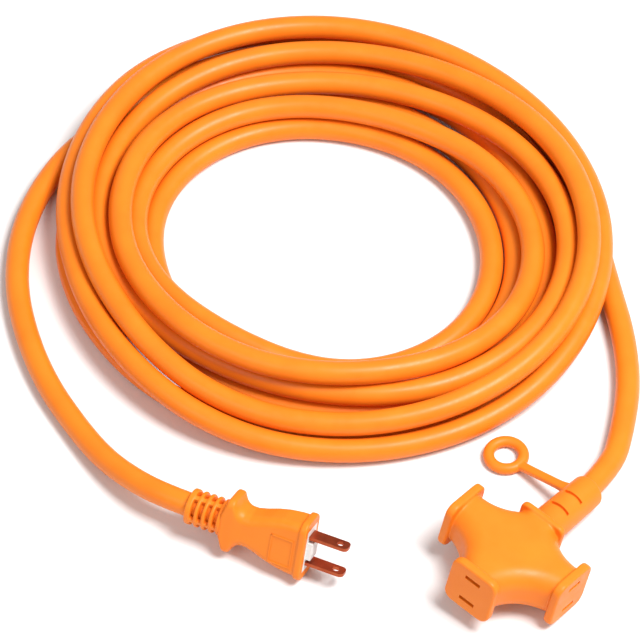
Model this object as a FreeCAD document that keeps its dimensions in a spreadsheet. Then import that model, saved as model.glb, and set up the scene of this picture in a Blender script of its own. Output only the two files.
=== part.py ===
"""Heavy-duty extension cord: a moulded three-outlet tap with a hang ring, a coiled
round cord and a moulded two-blade plug.

Frame: millimetres, +Z up. The origin is on the surface that the set lies on, below the
middle of the tap with its hang ring. +X is the way the tap's front outlet points and
+Y is the side of its left outlet. The tap rests on its side flanges and the end of its
cord bush, so its nose is a little raised.

Local frames: tap pieces are drawn with x to the front outlet, y to the left outlet and
z up, about the crossing of the arms. Plug pieces are drawn with x along the blades from
the front face, y from blade to blade and z through the thickness.
"""
import FreeCAD, Part
import math
import os
import re

from FreeCAD import Placement, Rotation, Vector

doc = FreeCAD.newDocument("extension_cord")

# ---------------------------------------------------------------- driving dimensions
SIZES = {
    # tap
    "face_reach": 30.5,        # arms' crossing to each outlet's face
    "plate_width": 23.2,       # outlet plate, across the slots
    "plate_height": 24.0,
    "plate_thick": 4.0,
    "plate_corner": 4.0,
    "arm_half": 9.5,           # half width of an arm at its plate
    "body_height": 21.0,
    "body_round": 6.5,
    "rear_reach": 18.5,        # crossing to the back of the collar
    "collar_thick": 3.0,
    "collar_width": 20.5,
    "collar_height": 21.0,
    "front_sag": 3.4,          # hollow of the walls beside the front arm
    "rear_sag": 2.0,
    "pole_offset": 6.35,       # half of the 12.7 blade spacing
    "slot_length": 7.6,
    "slot_width": 1.9,
    "core_arm": 7.0,           # half width of the insulating core's arms
    "core_end": 26.5,
    "core_rear": 14.5,
    "core_half": 9.2,
    "core_wall": 1.0,
    "core_round": 3.0,         # outer edges of the core's arms
    "partition_half": 0.7,
    "bus_thick": 0.8,
    "bus_width": 5.0,
    "bus_end": 13.0,
    "clip_length": 12.0,
    "clip_width": 6.2,
    "clip_height": 3.2,
    "clip_leaf": 0.6,
    "crimp_radius": 2.3,
    "crimp_length": 5.0,
    "strand_radius": 1.0,      # stripped copper
    "wire_radius": 1.7,        # insulated core
    "bush_length": 34.0,
    "bush_root_radius": 8.0,
    "bush_end_radius": 7.4,
    "bush_cavity": 5.4,
    "sheath_stop": 30.0,       # crossing to the end of the cord's sheath
    "groove_depth": 1.0,
    "groove_width": 1.6,
    "ring_radius": 7.45,       # hang ring, centre line
    "ring_section": 2.45,
    "strap_width": 4.2,
    "strap_thick": 2.8,
    # cord
    "cord_radius": 5.2,
    "coil_outer": 126.0,
    "coil_hole": 67.0,
    "coil_height": 31.0,
    # plug
    "flange_width": 28.5,
    "flange_height": 16.0,
    "flange_thick": 3.0,
    "flange_corner": 4.5,
    "plug_neck": 38.5,         # front face to the root of the strain relief
    "relief_length": 16.0,
    "relief_root_radius": 8.0,
    "relief_end_radius": 7.8,
    "relief_slot": 1.8,
    "insert_width": 20.0,
    "insert_height": 10.0,
    "insert_depth": 14.0,
    "boss_width": 8.0,
    "boss_height": 7.0,
    "boss_proud": 2.2,
    "blade_length": 17.0,
    "blade_width": 6.3,
    "blade_thick": 1.5,
    "blade_hole_radius": 1.55,
    "blade_hole_inset": 4.0,
    "blade_tail": 18.0,
}
sheet = doc.addObject("Spreadsheet::Sheet", "Sizes")
for row, (alias, value) in enumerate(SIZES.items(), start=1):
    sheet.set(f"A{row}", alias)
    sheet.set(f"B{row}", str(value))
    sheet.setAlias(f"B{row}", alias)
doc.recompute()


def size(alias):
    """The value of a cell of the sheet."""
    return float(sheet.get(alias))


def bound(text):
    """An expression in which each alias points at its cell of the sheet."""
    return re.sub(r"[a-z]+(?:_[a-z]+)+", lambda word: "Sizes." + word.group(0), text)


# ---------------------------------------------------------------- where things lie
TAP_CENTRE = Vector(12.72, 9.9, 16.12)
TAP_PITCH = 9.2
TAP_ROLL = 6.0
TAP_TURN = Rotation(Vector(0, 1, 0), -TAP_PITCH) * Rotation(Vector(1, 0, 0), -TAP_ROLL)
TAP = Placement(TAP_CENTRE, TAP_TURN)

PLUG_REAR = Vector(78.2, -110.6, 15.0)
PLUG_HEADING = 105.6
PLUG_ROLL = 69.0
PLUG_LENGTH = size("plug_neck") + size("relief_length")
PLUG_TURN = Rotation(Vector(0, 0, 1), PLUG_HEADING) * Rotation(Vector(1, 0, 0), PLUG_ROLL)
PLUG_AXIS = PLUG_TURN.multVec(Vector(1, 0, 0))
PLUG = Placement(PLUG_REAR + PLUG_AXIS * PLUG_LENGTH, PLUG_TURN)

COIL_CENTRE = Vector(-83.3, -167.2, 0)
HOLE_CENTRE = Vector(-74.5, -164.5, 0)

RING_CENTRE = Vector(-35.0, -31.0, size("ring_section"))
RING_HINGE = Vector(-31.8, 0.7, 10.2)

# The cord's middle line, end to end, except for its coiled turns.
TAP_TAIL = [(-16.89, 9.9, 11.32), (-54.7, 9.9, 5.2), (-77, -0.5, 5.2), (-98, -13, 5.2),
            (-118, -31, 5.2), (-135, -51.5, 5.2), (-150.5, -74, 5.2)]
PLUG_TAIL = [(-64, -287.5, 5.2), (-39, -287.3, 5.2), (-14.5, -281.5, 5.2), (9, -270, 5.2),
             (31, -252, 5.2), (48.5, -229.5, 5.2), (62, -206, 5.2), (71, -182, 5.2),
             (77.6, -161, 6.9), (81.2, -141, 11.4), (81.16, -121.2, 15.0),
             (73.92, -95.29, 15.0)]

pieces = []


def keep(obj, label, place=None):
    """Name a finished piece, put it in its place and list it for export."""
    obj.Label = label
    if place is not None:
        obj.Placement = place
    pieces.append(obj)
    return obj


# ---------------------------------------------------------------- drawing helpers
def box(name, x0, x1, y0, y1, z0, z1):
    """A box between six bounds, each an expression of the sheet's sizes."""
    made = doc.addObject("Part::Box", name)
    for side, low, high in (("Length", x0, x1), ("Width", y0, y1), ("Height", z0, z1)):
        made.setExpression(side, bound(f"({high}) - ({low})"))
    for axis, low in (("x", x0), ("y", y0), ("z", z0)):
        made.setExpression(f"Placement.Base.{axis}", bound(low))
    return made


def rod(name, radius, length, place):
    """A cylinder whose radius and length are expressions."""
    made = doc.addObject("Part::Cylinder", name)
    made.setExpression("Radius", bound(radius))
    made.setExpression("Height", bound(length))
    made.Placement = place
    return made


def frustum(name, start_radius, end_radius, length, place):
    """A cone frustum whose sizes are expressions."""
    made = doc.addObject("Part::Cone", name)
    made.setExpression("Radius1", bound(start_radius))
    made.setExpression("Radius2", bound(end_radius))
    made.setExpression("Height", bound(length))
    made.Placement = place
    return made


def fuse(name, shapes):
    made = doc.addObject("Part::MultiFuse", name)
    made.Shapes = shapes
    return made


def cut(name, base, tool):
    made = doc.addObject("Part::Cut", name)
    made.Base = base
    made.Tool = tool
    return made


def along_x(x, y=0.0, z=0.0):
    """A placement that turns a primitive's axis to +X."""
    return Placement(Vector(x, y, z), Rotation(Vector(0, 1, 0), 90))


def rounded(name, base, radius, chosen):
    """A Part::Fillet of the edges of base for which chosen(edge) is true."""
    doc.recompute()
    made = doc.addObject("Part::Fillet", name)
    made.Base = base
    edges = enumerate(base.Shape.Edges, start=1)
    made.Edges = [(number, radius, radius) for number, edge in edges if chosen(edge)]
    return made


def runs_along(axis):
    """A test for straight edges parallel to an axis (0 for X, 1 for Y, 2 for Z)."""
    def test(edge):
        ends = [vertex.Point for vertex in edge.Vertexes]
        if len(ends) != 2:
            return False
        span = ends[1] - ends[0]
        return abs(abs(span[axis]) - span.Length) < 1e-6
    return test


def plane_of(body, role):
    for feature in body.Origin.OriginFeatures:
        if feature.Role == role:
            return feature
    raise ValueError(role)


def outline_body(name, role, edges, length):
    """A PartDesign body: a closed outline in an origin plane, padded both ways."""
    body = doc.addObject("PartDesign::Body", name)
    sketch = body.newObject("Sketcher::SketchObject", name + "_outline")
    sketch.AttachmentSupport = (plane_of(body, role), [""])
    sketch.MapMode = "FlatFace"
    for edge in edges:
        sketch.addGeometry(edge, False)
    pad = body.newObject("PartDesign::Pad", name + "_pad")
    pad.Profile = sketch
    pad.SideType = "Symmetric"
    pad.setExpression("Length", bound(length))
    doc.recompute()
    return body


def line(start, end):
    return Part.LineSegment(Vector(*start, 0), Vector(*end, 0))


def hollow(start, end, sag):
    """An arc from start to end that bows towards the origin by sag."""
    a = Vector(*start, 0)
    b = Vector(*end, 0)
    middle = (a + b) * 0.5
    across = Vector(-(b - a).y, (b - a).x, 0).normalize()
    if across.dot(middle) > 0:
        across = across * -1
    return Part.Arc(a, middle + across * sag, b)


# ---------------------------------------------------------------- tap: jacket
def tap_outline():
    """The cross seen from above: plates at three ends, the collar at the fourth."""
    arm = size("arm_half")
    front = size("face_reach") - size("plate_thick") + 0.5
    rear = -size("rear_reach") + size("collar_thick") - 0.5
    side = front
    return [
        line((front, -arm), (front, arm)),
        hollow((front, arm), (arm, side), size("front_sag")),
        line((arm, side), (-arm, side)),
        hollow((-arm, side), (rear, arm), size("rear_sag")),
        line((rear, arm), (rear, -arm)),
        hollow((rear, -arm), (-arm, -side), size("rear_sag")),
        line((-arm, -side), (arm, -side)),
        hollow((arm, -side), (front, -arm), size("front_sag")),
    ]


def level_arc(edge):
    """True for the curved edges round the top and the bottom of the cross."""
    points = [vertex.Point for vertex in edge.Vertexes]
    level = abs(points[0].z - points[-1].z) < 1e-6
    return level and not isinstance(edge.Curve, (Part.Line, Part.LineSegment))


OUTLETS = (("front", 0), ("left", 90), ("right", -90))
POLES = (("live", 1), ("neutral", -1))
PLATE_RIM = 0.8
COLLAR_CORNER = 3.5


def turned(angle):
    """A placement that turns a front piece to another outlet."""
    return Placement(Vector(), Rotation(Vector(0, 0, 1), angle))


def slot_pair(name, turn, start, end, width):
    """Two level slots, one for each blade, from start to end along an arm."""
    slots = []
    for pole, sign in POLES:
        middle = f"{sign} * pole_offset"
        slots.append(box(f"slot_{name}_{pole}", start, end,
                         "-slot_length / 2", "slot_length / 2",
                         f"{middle} - {width} / 2", f"{middle} + {width} / 2"))
    pair = fuse(f"slots_{name}", slots)
    pair.Placement = turned(turn)
    return pair


def core_cross(name, half, end, rear, low, high, outer_round=None):
    """The cross of the insulating core, or of a space inside it.

    outer_round rounds the arms' long edges at the core's upper and lower faces.
    """
    lengthwise = box(f"{name}_lengthwise", f"-({rear})", end, f"-({half})", half, low, high)
    crosswise = box(f"{name}_crosswise", f"-({half})", half, f"-({end})", end, low, high)
    if outer_round:
        face = size("core_half")
        arms = []
        for arm, axis in ((lengthwise, 0), (crosswise, 1)):
            arms.append(rounded(f"{arm.Name}_soft", arm, outer_round,
                                lambda edge, axis=axis: runs_along(axis)(edge)
                                and abs(abs(edge.Vertexes[0].Point.z) - face) < 1e-6))
        lengthwise, crosswise = arms
    return fuse(name, [lengthwise, crosswise])


def outlet_plates():
    """Three rounded plates with softened rims, one at each outlet."""
    face = size("face_reach")
    plates = []
    for name, turn in OUTLETS:
        plain = box(f"plate_{name}", "face_reach - plate_thick", "face_reach",
                    "-plate_width / 2", "plate_width / 2",
                    "-plate_height / 2", "plate_height / 2")
        corners = rounded(f"plate_{name}_corners", plain, size("plate_corner"), runs_along(0))
        rim = rounded(f"plate_{name}_rim", corners, PLATE_RIM,
                      lambda edge: all(abs(v.Point.x - face) < 1e-6 for v in edge.Vertexes))
        rim.Placement = turned(turn)
        plates.append(rim)
    return plates


cross = outline_body("tap_cross", "XY_Plane", tap_outline(), "body_height")
cross_soft = rounded("tap_cross_soft", cross, size("body_round"), level_arc)
collar_plain = box("collar_plain", "-rear_reach", "collar_thick - rear_reach",
                   "-collar_width / 2", "collar_width / 2",
                   "-collar_height / 2", "collar_height / 2")
collar = rounded("collar", collar_plain, COLLAR_CORNER, runs_along(0))
jacket_solid = fuse("tap_jacket_solid", [cross_soft, collar] + outlet_plates())
jacket_space = core_cross("tap_jacket_space", "core_arm", "core_end", "core_rear",
                          "-core_half", "core_half", size("core_round"))
cord_entry = rod("tap_cord_entry", "bush_cavity", "rear_reach", along_x(-size("rear_reach")))
jacket_slots = [slot_pair(f"jacket_{name}", turn, "core_end - 1", "face_reach + 1",
                          "slot_width") for name, turn in OUTLETS]
jacket_hollow = fuse("tap_jacket_hollow", [jacket_space, cord_entry] + jacket_slots)
keep(cut("jacket", jacket_solid, jacket_hollow), "tap_jacket", TAP)

# ---------------------------------------------------------------- tap: insulating core
for label, low, high in (("core_upper_shell", "partition_half", "core_half"),
                         ("core_lower_shell", "-core_half", "-partition_half")):
    outer = core_cross(f"{label}_outer", "core_arm", "core_end", "core_rear", low, high,
                       size("core_round"))
    inner_low = low if low == "partition_half" else "core_wall - core_half"
    inner_high = "core_half - core_wall" if low == "partition_half" else high
    room = core_cross(f"{label}_room", "core_arm - 2 * core_wall", "core_end - core_wall",
                      "core_rear + core_wall", inner_low, inner_high)
    windows = [slot_pair(f"{label}_{name}", turn, "core_end - 2 * core_wall",
                         "core_end + core_wall", "slot_width") for name, turn in OUTLETS]
    shell_hollow = fuse(f"{label}_hollow", [room] + windows)
    keep(cut(f"{label}_cut", outer, shell_hollow), label, TAP)

# The partition keeps the two poles apart; its posts carry the bus strips.
POST_RADIUS = 1.6
POST_SPOTS = ((5.0, 0.0), (-5.0, 0.0), (0.0, 8.0), (0.0, -8.0))
partition_parts = [core_cross("partition_plate", "core_arm", "core_end", "core_rear",
                              "-partition_half", "partition_half")]
for number, (x, y) in enumerate(POST_SPOTS, start=1):
    foot = -size("pole_offset") + size("bus_thick") / 2
    partition_parts.append(rod(f"post_{number}", f"{POST_RADIUS}",
                               "2 * pole_offset - bus_thick",
                               Placement(Vector(x, y, foot), Rotation())))
keep(fuse("partition", partition_parts), "core_partition", TAP)

# ---------------------------------------------------------------- tap: metal parts
BUS_REAR = 13.0
CRIMP_BACK = -14.2
CRIMP_DROP = size("bus_thick") / 2 + size("crimp_radius")
for pole, sign in POLES:
    flat = (f"{sign} * pole_offset - bus_thick / 2", f"{sign} * pole_offset + bus_thick / 2")
    bus_long = box(f"bus_long_{pole}", f"-{BUS_REAR}", "bus_end",
                   "-bus_width / 2", "bus_width / 2", *flat)
    bus_wide = box(f"bus_wide_{pole}", "-bus_width / 2", "bus_width / 2",
                   "-bus_end", "bus_end", *flat)
    keep(fuse(f"bus_{pole}", [bus_long, bus_wide]), f"bus_strip_{pole}", TAP)

    for name, turn in OUTLETS:
        clip_outer = box(f"clip_outer_{name}_{pole}", "bus_end", "bus_end + clip_length",
                         "-clip_width / 2", "clip_width / 2",
                         "-clip_height / 2", "clip_height / 2")
        clip_gap = box(f"clip_gap_{name}_{pole}", "bus_end + clip_leaf",
                       "bus_end + clip_length + 1",
                       "-clip_width", "clip_width",
                       "clip_leaf - clip_height / 2", "clip_height / 2 - clip_leaf")
        level = Placement(Vector(0, 0, sign * size("pole_offset")), Rotation())
        keep(cut(f"clip_{name}_{pole}", clip_outer, clip_gap), f"contact_{name}_{pole}",
             TAP * level * turned(turn))

    crimp_high = sign * (size("pole_offset") - CRIMP_DROP)
    crimp_at = along_x(CRIMP_BACK, 0, crimp_high)
    barrel = rod(f"tap_barrel_{pole}", "crimp_radius", "crimp_length", crimp_at)
    bore = rod(f"tap_barrel_bore_{pole}", "strand_radius", "crimp_length", crimp_at)
    keep(cut(f"tap_crimp_cut_{pole}", barrel, bore), f"tap_crimp_{pole}", TAP)


# ---------------------------------------------------------------- conductors
def round_bar(points, radius):
    """A tube along straight runs joined by tangent arcs, and the arcs' radii."""
    route = [Vector(*point) for point in points]
    edges = []
    radii = []
    start = route[0]
    for before, corner, after in zip(route, route[1:], route[2:]):
        back = (before - corner).normalize()
        ahead = (after - corner).normalize()
        turn = math.pi - back.getAngle(ahead)
        reach = 0.45 * min((before - corner).Length, (after - corner).Length)
        radius_here = reach / math.tan(turn / 2)
        radii.append(radius_here)
        arc_start = corner + back * reach
        arc_end = corner + ahead * reach
        centre_way = (back + ahead).normalize()
        centre = corner + centre_way * (radius_here / math.cos(turn / 2))
        arc_middle = centre - centre_way * radius_here
        edges.append(Part.LineSegment(start, arc_start).toShape())
        edges.append(Part.Arc(arc_start, arc_middle, arc_end).toShape())
        start = arc_end
    edges.append(Part.LineSegment(start, route[-1]).toShape())
    path = Part.Wire(edges)
    section = Part.Wire([Part.Circle(route[0], route[1] - route[0], radius).toShape()])
    tube = path.makePipeShell([section], True, False)
    expected = math.pi * radius ** 2 * path.Length
    print(f"  tube: length {path.Length:.1f}, volume {tube.Volume:.0f} of {expected:.0f},"
          f" radii {[round(value) for value in radii]}")
    return tube


def tube_piece(label, points, radius, place=None):
    made = doc.addObject("Part::Feature", label + "_tube")
    made.Shape = round_bar(points, radius)
    return keep(made, label, place if place is not None else Placement())


def joined_piece(label, shapes, place):
    """Identical small solids kept together in one node."""
    made = doc.addObject("Part::Compound", label + "_group")
    made.Links = shapes
    return keep(made, label, place)


SPLAY = 1.9
sheath_end = -size("sheath_stop")
for pole, sign in POLES:
    high = sign * (size("pole_offset") - CRIMP_DROP)
    low = sign * SPLAY
    tube_piece(f"tap_wire_{pole}",
               [(sheath_end, 0, low), (sheath_end + 5, 0, low), (CRIMP_BACK - 5, 0, high),
                (CRIMP_BACK, 0, high)], size("wire_radius"), TAP)
joined_piece("tap_copper_strands",
             [rod(f"tap_strand_{pole}", "strand_radius", "crimp_length",
                  along_x(CRIMP_BACK, 0, sign * (size("pole_offset") - CRIMP_DROP)))
              for pole, sign in POLES], TAP)

# ---------------------------------------------------------------- tap: cord bush
BUSH_SHOULDER = 1.0
rear = size("rear_reach")
bush_cone = frustum("bush_cone", "bush_end_radius", "bush_root_radius", "bush_length",
                    along_x(-rear - size("bush_length")))
bush_end_x = -rear - size("bush_length")
bush_soft = rounded("bush_soft", bush_cone, BUSH_SHOULDER,
                    lambda edge: all(abs(v.Point.x - bush_end_x) < 1e-6 for v in edge.Vertexes))
sheath_seat = rod("sheath_seat", "cord_radius", "rear_reach + bush_length - sheath_stop + 1",
                  along_x(bush_end_x - 1))
wire_room = rod("wire_room", "bush_cavity", "sheath_stop", along_x(-size("sheath_stop")))
BUSH_GROOVES = (-30.0, -39.5)
GROOVE_HALF_ANGLE = 38.0
grooves = []
for number, x in enumerate(BUSH_GROOVES, start=1):
    for side, facing in (("top", 90), ("bottom", -90)):
        floor_radius = size("bush_root_radius") - 0.5 - size("groove_depth")
        wide = Part.makeCylinder(12, size("groove_width"), Vector(x, 0, 0), Vector(1, 0, 0),
                                 2 * GROOVE_HALF_ANGLE)
        narrow = Part.makeCylinder(floor_radius, size("groove_width"), Vector(x, 0, 0),
                                   Vector(1, 0, 0), 360)
        groove = doc.addObject("Part::Feature", f"bush_groove_{side}_{number}")
        sector = wide.cut(narrow)
        sector.rotate(Vector(), Vector(1, 0, 0), facing - GROOVE_HALF_ANGLE)
        groove.Shape = sector
        grooves.append(groove)
bush_hollow = fuse("bush_hollow", [sheath_seat, wire_room] + grooves)
keep(cut("cord_bush", bush_soft, bush_hollow), "tap_cord_bush", TAP)

# ---------------------------------------------------------------- hang ring
# A closed ring on a short strap. The strap bends at its root, drawn as a barrel whose
# axis is the line about which it bends.
LEVEL = Vector(0, 0, 1)
strap_way = (RING_CENTRE - RING_HINGE)
strap_flat = Vector(strap_way.x, strap_way.y, 0).normalize()
hinge_axis = strap_flat.cross(LEVEL)
hoop = doc.addObject("Part::Torus", "hang_hoop")
hoop.setExpression("Radius1", bound("ring_radius"))
hoop.setExpression("Radius2", bound("ring_section"))
hoop.Placement = Placement(RING_CENTRE, Rotation())

near_hoop = RING_CENTRE - strap_flat * size("ring_radius")
strap_run = near_hoop - RING_HINGE
strap = doc.addObject("Part::Box", "hang_strap")
strap.Length = strap_run.Length
strap.setExpression("Width", bound("strap_width"))
strap.setExpression("Height", bound("strap_thick"))
strap_side = LEVEL.cross(strap_run).normalize()
strap_up = strap_run.cross(strap_side).normalize()
strap_turn = Rotation(strap_run.normalize(), strap_side, strap_up, "XYZ")
strap_corner = strap_turn.multVec(Vector(0, -size("strap_width") / 2, -size("strap_thick") / 2))
strap.Placement = Placement(RING_HINGE + strap_corner, strap_turn)

barrel_turn = Rotation(LEVEL, hinge_axis)
barrel_end = RING_HINGE - hinge_axis * (size("strap_width") / 2)
strap_root = rod("hang_strap_root", "strap_thick / 2", "strap_width",
                 Placement(barrel_end, barrel_turn))
keep(fuse("hang_ring_parts", [hoop, strap, strap_root]), "hang_ring", Placement())
print("hinge axis", [round(value, 4) for value in hinge_axis])

# ---------------------------------------------------------------- cord
tube_piece("cord_tail_tap", TAP_TAIL, size("cord_radius"))
tube_piece("cord_tail_plug", PLUG_TAIL, size("cord_radius"))

COIL_ROUND = 6.0
coil_disc = rod("coil_disc", "coil_outer", "coil_height", Placement(COIL_CENTRE, Rotation()))
coil_hole = rod("coil_hole_tool", "coil_hole", "coil_height", Placement(HOLE_CENTRE, Rotation()))
coil_ring = cut("coil_ring", coil_disc, coil_hole)
keep(rounded("coil_soft", coil_ring, COIL_ROUND,
             lambda edge: isinstance(edge.Curve, Part.Circle)), "cord_coil")


# ---------------------------------------------------------------- plug: moulded body
def mirrored(points):
    """A closed outline from its half above the axis, listed from rear to front."""
    return points + [(x, -y) for x, y in reversed(points)]


def polygon_body(name, role, points, length):
    edges = [line(a, b) for a, b in zip(points, points[1:] + points[:1])]
    return outline_body(name, role, edges, length)


neck = -size("plug_neck")
front = -size("flange_thick") + 0.5
PLAN = [(neck, 7.6), (neck + 1.2, 9.8), (neck + 1.9, 12.0), (neck + 2.8, 12.9),
        (neck + 4.8, 12.9), (neck + 5.6, 12.0), (neck + 6.6, 10.2), (neck + 7.8, 8.9),
        (neck + 9.8, 8.0),
        (neck + 13, 8.0), (neck + 17.2, 9.2), (neck + 22, 10.8), (neck + 27, 12.0),
        (neck + 31.5, 12.6), (front, 12.9)]
SIDE = [(neck, 7.5), (neck + 4, 7.3), (neck + 9.5, 6.7), (neck + 17, 6.7), (front, 7.2)]
plan = polygon_body("plug_plan", "XY_Plane", mirrored(PLAN), "flange_height + 4")
side = polygon_body("plug_side", "XZ_Plane", mirrored(SIDE), "flange_width + 6")
EDGE_CUT = 4.2
END_HALF_WIDTH = 14.6
END_HALF_HEIGHT = 7.6
END_SIDE = END_HALF_HEIGHT - EDGE_CUT
END_TOP = END_HALF_WIDTH - EDGE_CUT
end_view = polygon_body("plug_end_view", "YZ_Plane",
                        [(END_HALF_WIDTH, END_SIDE), (END_TOP, END_HALF_HEIGHT),
                         (-END_TOP, END_HALF_HEIGHT), (-END_HALF_WIDTH, END_SIDE),
                         (-END_HALF_WIDTH, -END_SIDE), (-END_TOP, -END_HALF_HEIGHT),
                         (END_TOP, -END_HALF_HEIGHT), (END_HALF_WIDTH, -END_SIDE)],
                        "plug_neck * 2 + 4")
plug_core = doc.addObject("Part::MultiCommon", "plug_trunk")
plug_core.Shapes = [plan, side, end_view]
flange_plain = box("plug_flange_plain", "-flange_thick", "0", "-flange_width / 2",
                   "flange_width / 2", "-flange_height / 2", "flange_height / 2")
flange = rounded("plug_flange", flange_plain, size("flange_corner"), runs_along(0))
plug_solid = fuse("plug_solid", [plug_core, flange])
insert_seat = box("insert_seat", "-insert_depth", "1", "-insert_width / 2",
                  "insert_width / 2", "-insert_height / 2", "insert_height / 2")
ROOM_HALF_HEIGHT = 3.4
BLADE_ROOM_HALF = 7.6
CRIMP_ROOM_HALF = 6.0
CRIMP_ROOM_END = 25.0
WIRE_ROOM_LENGTH = 15.0
room_low = f"-{ROOM_HALF_HEIGHT}"
room_high = f"{ROOM_HALF_HEIGHT}"
blade_room = box("blade_room", "-blade_tail - 0.5", "1 - insert_depth",
                 f"-{BLADE_ROOM_HALF}", f"{BLADE_ROOM_HALF}", room_low, room_high)
crimp_room = box("crimp_room", f"-{CRIMP_ROOM_END}", "-blade_tail",
                 f"-{CRIMP_ROOM_HALF}", f"{CRIMP_ROOM_HALF}", room_low, room_high)
plug_wire_room = frustum("plug_wire_room", "cord_radius + 0.3", "cord_radius",
                         f"{WIRE_ROOM_LENGTH}", along_x(neck - 0.001))
plug_hollow = fuse("plug_hollow", [insert_seat, blade_room, crimp_room, plug_wire_room])
keep(cut("plug_cut", plug_solid, plug_hollow), "plug_body", PLUG)

# The insert holds the blades and stands a little proud between them.
insert_block = box("insert_block", "-insert_depth", "0", "-insert_width / 2",
                   "insert_width / 2", "-insert_height / 2", "insert_height / 2")
boss = box("insert_boss", "-1", "boss_proud", "-boss_width / 2", "boss_width / 2",
           "-boss_height / 2", "boss_height / 2")
insert_solid = fuse("insert_solid", [insert_block, boss])
blade_slots = [box(f"insert_slot_{pole}", "-insert_depth - 1", "1",
                   f"{sign} * pole_offset - blade_thick / 2",
                   f"{sign} * pole_offset + blade_thick / 2",
                   "-blade_width / 2", "blade_width / 2") for pole, sign in POLES]
keep(cut("insert_cut", insert_solid, fuse("insert_slots", blade_slots)), "plug_insert", PLUG)

BLADE_CORNER = 2.2
for pole, sign in POLES:
    flat = box(f"blade_flat_{pole}", "-blade_tail", "blade_length",
               f"{sign} * pole_offset - blade_thick / 2",
               f"{sign} * pole_offset + blade_thick / 2",
               "-blade_width / 2", "blade_width / 2")
    tip = size("blade_length")
    blade = rounded(f"blade_tip_{pole}", flat, BLADE_CORNER,
                    lambda edge: runs_along(1)(edge)
                    and all(abs(v.Point.x - tip) < 1e-6 for v in edge.Vertexes))
    across = Placement(Vector(tip - size("blade_hole_inset"),
                              sign * size("pole_offset") - 5, 0),
                       Rotation(Vector(1, 0, 0), -90))
    hole = rod(f"blade_hole_{pole}", "blade_hole_radius", "10", across)
    keep(cut(f"blade_cut_{pole}", blade, hole), f"plug_blade_{pole}", PLUG)

    crimp_high = sign * (size("pole_offset") - size("blade_thick") / 2 - size("crimp_radius"))
    crimp_at = along_x(-size("blade_tail") - 3, crimp_high, 0)
    barrel = rod(f"plug_barrel_{pole}", "crimp_radius", "crimp_length", crimp_at)
    bore = rod(f"plug_barrel_bore_{pole}", "strand_radius", "crimp_length", crimp_at)
    keep(cut(f"plug_crimp_cut_{pole}", barrel, bore), f"plug_crimp_{pole}", PLUG)

    mouth = -size("blade_tail") - 3
    tube_piece(f"plug_wire_{pole}",
               [(neck + 0.3, sign * SPLAY, 0), (neck + 6, sign * SPLAY, 0),
                (mouth - 5, crimp_high, 0), (mouth, crimp_high, 0)],
               size("wire_radius"), PLUG)
joined_piece("plug_copper_strands",
             [rod(f"plug_strand_{pole}", "strand_radius", "crimp_length",
                  along_x(-size("blade_tail") - 3,
                          sign * (size("pole_offset") - size("blade_thick") / 2
                                  - size("crimp_radius")), 0))
              for pole, sign in POLES], PLUG)

# ---------------------------------------------------------------- plug: strain relief
# Four rows of slots leave rings joined by four webs, so the sleeve bends with the cord.
relief_rear = neck - size("relief_length")
relief_cone = frustum("relief_cone", "relief_end_radius", "relief_root_radius",
                      "relief_length", along_x(relief_rear))
relief_bore = rod("relief_bore", "cord_radius", "relief_length + 2", along_x(relief_rear - 1))
RELIEF_ROWS = 4
ROW_PITCH = 3.4
FIRST_ROW = 2.6
WEB_HALF = 1.3
ROW_FLOOR = 5.7
WEB_TURN = 23.5
slots = []
for number in range(RELIEF_ROWS):
    x = relief_rear + FIRST_ROW + number * ROW_PITCH
    outer = rod(f"relief_slot_outer_{number}", "relief_root_radius + 1", "relief_slot",
                along_x(x))
    inner = rod(f"relief_slot_inner_{number}", f"{ROW_FLOOR}", "relief_slot", along_x(x))
    webs = []
    for arm in range(2):
        web = doc.addObject("Part::Box", f"relief_web_{number}_{arm}")
        web.setExpression("Length", bound("relief_slot"))
        web.Width = 2 * WEB_HALF
        web.setExpression("Height", bound("relief_root_radius * 2 + 4"))
        tilt = Rotation(Vector(1, 0, 0), WEB_TURN + 90 * arm)
        corner = tilt.multVec(Vector(0, -WEB_HALF, -size("relief_root_radius") - 2))
        web.Placement = Placement(Vector(x, 0, 0) + corner, tilt)
        webs.append(web)
    ring = cut(f"relief_slot_ring_{number}", outer, fuse(f"relief_keep_{number}", [inner] + webs))
    slots.append(ring)
relief_hollow = fuse("relief_hollow", [relief_bore] + slots)
keep(cut("relief_cut", relief_cone, relief_hollow), "plug_strain_relief", PLUG)

# ---------------------------------------------------------------- exports
doc.recompute()
failed = []
for obj in doc.Objects:
    if "Invalid" in obj.State or "Error" in obj.State:
        failed.append(obj.Name)
for piece in pieces:
    if piece.Shape.isNull() or not piece.Shape.isValid():
        failed.append(piece.Label)
if failed:
    raise SystemExit("failed: " + ", ".join(failed))

os.makedirs("parts", exist_ok=True)
for piece in pieces:
    piece.Shape.exportStep(f"parts/{piece.Label}.step")
    bounds = piece.Shape.BoundBox
    print(f"{piece.Label:24s} solids {len(piece.Shape.Solids)} volume {piece.Shape.Volume:9.1f}"
          f"  x {bounds.XMin:7.2f} {bounds.XMax:7.2f}  y {bounds.YMin:7.2f} {bounds.YMax:7.2f}"
          f"  z {bounds.ZMin:6.2f} {bounds.ZMax:6.2f}")
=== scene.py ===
"""Looks of a coiled extension cord: a loose coil of round sheathed cord, a moulded
three-outlet tap with a hang ring at one end and a moulded two-blade plug at the other.

Lengths are in millimetres until a mesh or a spline is made, and in metres from there on.
The tap's pieces are drawn about the crossing of its arms, x to the front outlet, y to the
left outlet and z up. The plug's pieces are drawn with x along the blades from the front
face, y from blade to blade and z through the thickness.
"""
import math

import bmesh
import bpy
import numpy as np
from mathutils import Matrix, Vector


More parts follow.
